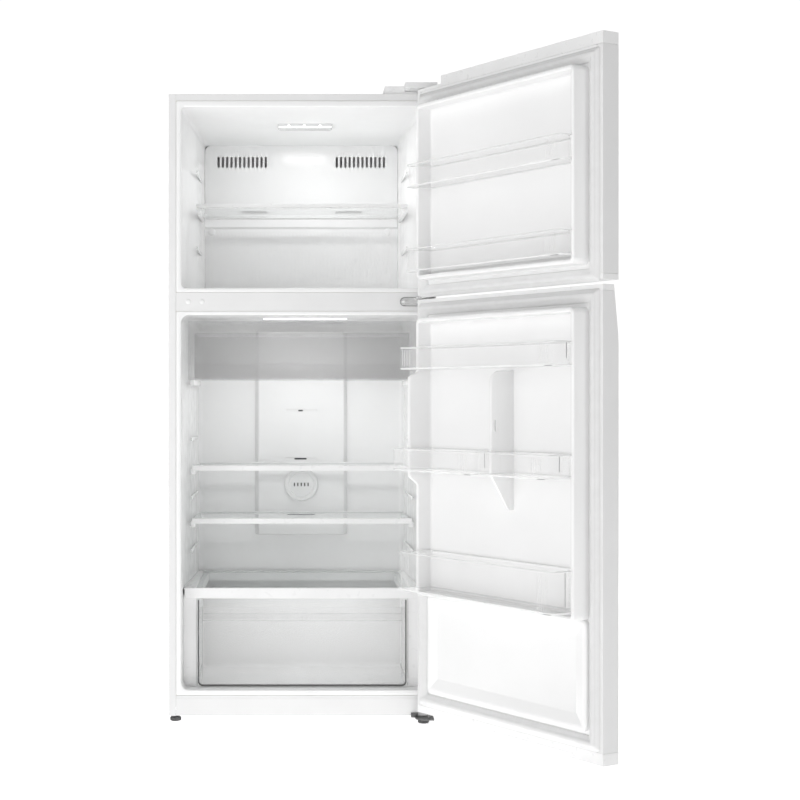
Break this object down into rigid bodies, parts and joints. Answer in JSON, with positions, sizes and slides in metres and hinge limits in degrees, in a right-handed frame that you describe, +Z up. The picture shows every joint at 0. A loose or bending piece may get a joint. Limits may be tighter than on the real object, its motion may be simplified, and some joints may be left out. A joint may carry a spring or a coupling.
{
  "type": "top freezer refrigerator",
  "caption": "White two-door top freezer refrigerator, doors open, with door racks, glass shelves, drawers, fan, compressor bay, feet and rollers.",
  "frame": {"origin": "on the floor, under the middle of the bounding box with both doors open", "axes": "+Z up, +Y from the front of the case to its back, +X across the front towards the hinge side"},
  "size_m": [1.065, 1.2668, 1.681],
  "materials": {
    "white_steel": "satin white powder coat",
    "white_plastic": "smooth moulded white",
    "gasket_rubber": "soft matt light grey",
    "clear_plastic": "clear moulded",
    "frosted_plastic": "frosted, finely ribbed",
    "shelf_glass": "clear toughened",
    "zinc_steel": "zinc plated",
    "dark_plastic": "moulded, dark grey",
    "copper_tube": "bare copper",
    "aluminium_fins": "mill finish",
    "insulation_foam": "rigid foam",
    "black_enamel": "black enamel"
  },
  "bodies": {
    "cabinet": {"base_frame": "zinc_steel", "bay_cover": "zinc_steel", "bottom_hinge": "zinc_steel", "cabinet_insulation": "insulation_foam", "compressor": "black_enamel", "condenser": "copper_tube", "cord_gland": "dark_plastic", "crisper_cover_glass": "shelf_glass", "crisper_frame": "white_plastic", "deodoriser_cap": "white_plastic", "drip_tray": "dark_plastic", "duct_cover": "white_plastic", "evaporator": "aluminium_fins", "evaporator_cover": "white_plastic", "fan_motor": "dark_plastic", "freezer_lamp": "clear_plastic", "freezer_liner": "white_plastic", "fridge_lamp": "clear_plastic", "fridge_liner": "white_plastic", "kick_panel": "white_steel", "middle_hinge": "zinc_steel", "mullion_plate": "white_steel", "rear_panel": "zinc_steel", "side_panel_left": "white_steel", "side_panel_right": "white_steel", "top_hinge_bracket": "zinc_steel", "top_hinge_cover": "white_plastic", "top_panel": "white_steel"},
    "freezer_door": {"freezer_door_skin": "white_steel", "freezer_door_top_cap": "white_plastic", "freezer_door_bottom_cap": "white_plastic", "freezer_door_liner": "white_plastic", "freezer_door_gasket": "gasket_rubber", "freezer_door_foam": "insulation_foam"},
    "fridge_door": {"fridge_door_skin": "white_steel", "fridge_door_top_cap": "white_plastic", "fridge_door_bottom_cap": "white_plastic", "fridge_door_liner": "white_plastic", "fridge_door_gasket": "gasket_rubber", "fridge_door_foam": "insulation_foam", "fridge_door_grip": "white_plastic"},
    "freezer_rack_upper": {"freezer_rack_upper": "clear_plastic"},
    "freezer_rack_lower": {"freezer_rack_lower": "clear_plastic"},
    "fridge_rack_top": {"fridge_rack_top": "clear_plastic"},
    "fridge_rack_hinge_side": {"fridge_rack_hinge_side": "clear_plastic"},
    "fridge_rack_free_side": {"fridge_rack_free_side": "clear_plastic"},
    "fridge_rack_bottom": {"fridge_rack_bottom": "clear_plastic"},
    "freezer_shelf": {"freezer_shelf_glass": "shelf_glass", "freezer_shelf_trim": "white_plastic"},
    "upper_shelf": {"upper_shelf_glass": "shelf_glass", "upper_shelf_trim": "white_plastic"},
    "lower_shelf": {"lower_shelf_glass": "shelf_glass", "lower_shelf_trim": "white_plastic"},
    "chiller_drawer": {"chiller_drawer": "frosted_plastic"},
    "crisper_drawer": {"crisper_drawer": "clear_plastic"},
    "evaporator_fan": {"evaporator_fan": "white_plastic"},
    "front_foot_left": {"front_foot_left": "dark_plastic"},
    "front_foot_right": {"front_foot_right": "dark_plastic"},
    "rear_roller_left": {"rear_roller_left": "dark_plastic"},
    "rear_roller_right": {"rear_roller_right": "dark_plastic"}
  },
  "joints": [
    {"name": "freezer_door_hinge", "type": "hinge", "parent": "cabinet", "child": "freezer_door", "pos_m": [0.14949, -0.01913, 1.12], "axis": [0, 0, 1], "range_deg": [-121.77, 8]},
    {"name": "fridge_door_hinge", "type": "hinge", "parent": "cabinet", "child": "fridge_door", "pos_m": [0.14949, -0.01913, 0.032], "axis": [0, 0, 1], "range_deg": [-121.77, 8]},
    {"name": "freezer_rack_upper_lift", "type": "slide", "parent": "freezer_door", "child": "freezer_rack_upper", "axis": [0, 0, 1], "range_m": [0, 0.02]},
    {"name": "freezer_rack_lower_lift", "type": "slide", "parent": "freezer_door", "child": "freezer_rack_lower", "axis": [0, 0, 1], "range_m": [0, 0.02]},
    {"name": "fridge_rack_top_lift", "type": "slide", "parent": "fridge_door", "child": "fridge_rack_top", "axis": [0, 0, 1], "range_m": [0, 0.02]},
    {"name": "fridge_rack_hinge_side_lift", "type": "slide", "parent": "fridge_door", "child": "fridge_rack_hinge_side", "axis": [0, 0, 1], "range_m": [0, 0.02]},
    {"name": "fridge_rack_free_side_lift", "type": "slide", "parent": "fridge_door", "child": "fridge_rack_free_side", "axis": [0, 0, 1], "range_m": [0, 0.02]},
    {"name": "fridge_rack_bottom_lift", "type": "slide", "parent": "fridge_door", "child": "fridge_rack_bottom", "axis": [0, 0, 1], "range_m": [0, 0.02]},
    {"name": "freezer_shelf_slide", "type": "slide", "parent": "cabinet", "child": "freezer_shelf", "axis": [0, -1, 0], "range_m": [0, 0.15]},
    {"name": "upper_shelf_slide", "type": "slide", "parent": "cabinet", "child": "upper_shelf", "axis": [0, -1, 0], "range_m": [0, 0.15]},
    {"name": "lower_shelf_slide", "type": "slide", "parent": "cabinet", "child": "lower_shelf", "axis": [0, -1, 0], "range_m": [0, 0.15]},
    {"name": "chiller_drawer_slide", "type": "slide", "parent": "cabinet", "child": "chiller_drawer", "axis": [0, -1, 0], "range_m": [0, 0.115]},
    {"name": "crisper_drawer_slide", "type": "slide", "parent": "cabinet", "child": "crisper_drawer", "axis": [0, -1, 0], "range_m": [0, 0.3]},
    {"name": "evaporator_fan_spin", "type": "hinge", "parent": "cabinet", "child": "evaporator_fan", "pos_m": [-0.18052, 0.49937, 1.47], "axis": [0, -1, 0], "continuous": true},
    {"name": "front_foot_left_turn", "type": "hinge", "parent": "cabinet", "child": "front_foot_left", "pos_m": [-0.51551, 0.03737, 0], "axis": [0, 0, 1], "continuous": true},
    {"name": "front_foot_right_turn", "type": "hinge", "parent": "cabinet", "child": "front_foot_right", "pos_m": [0.13748, 0.00337, 0], "axis": [0, 0, 1], "continuous": true},
    {"name": "rear_roller_left_roll", "type": "hinge", "parent": "cabinet", "child": "rear_roller_left", "pos_m": [-0.48052, 0.57337, 0.0145], "axis": [1, 0, 0], "continuous": true},
    {"name": "rear_roller_right_roll", "type": "hinge", "parent": "cabinet", "child": "rear_roller_right", "pos_m": [0.11948, 0.57337, 0.0145], "axis": [1, 0, 0], "continuous": true}
  ]
}
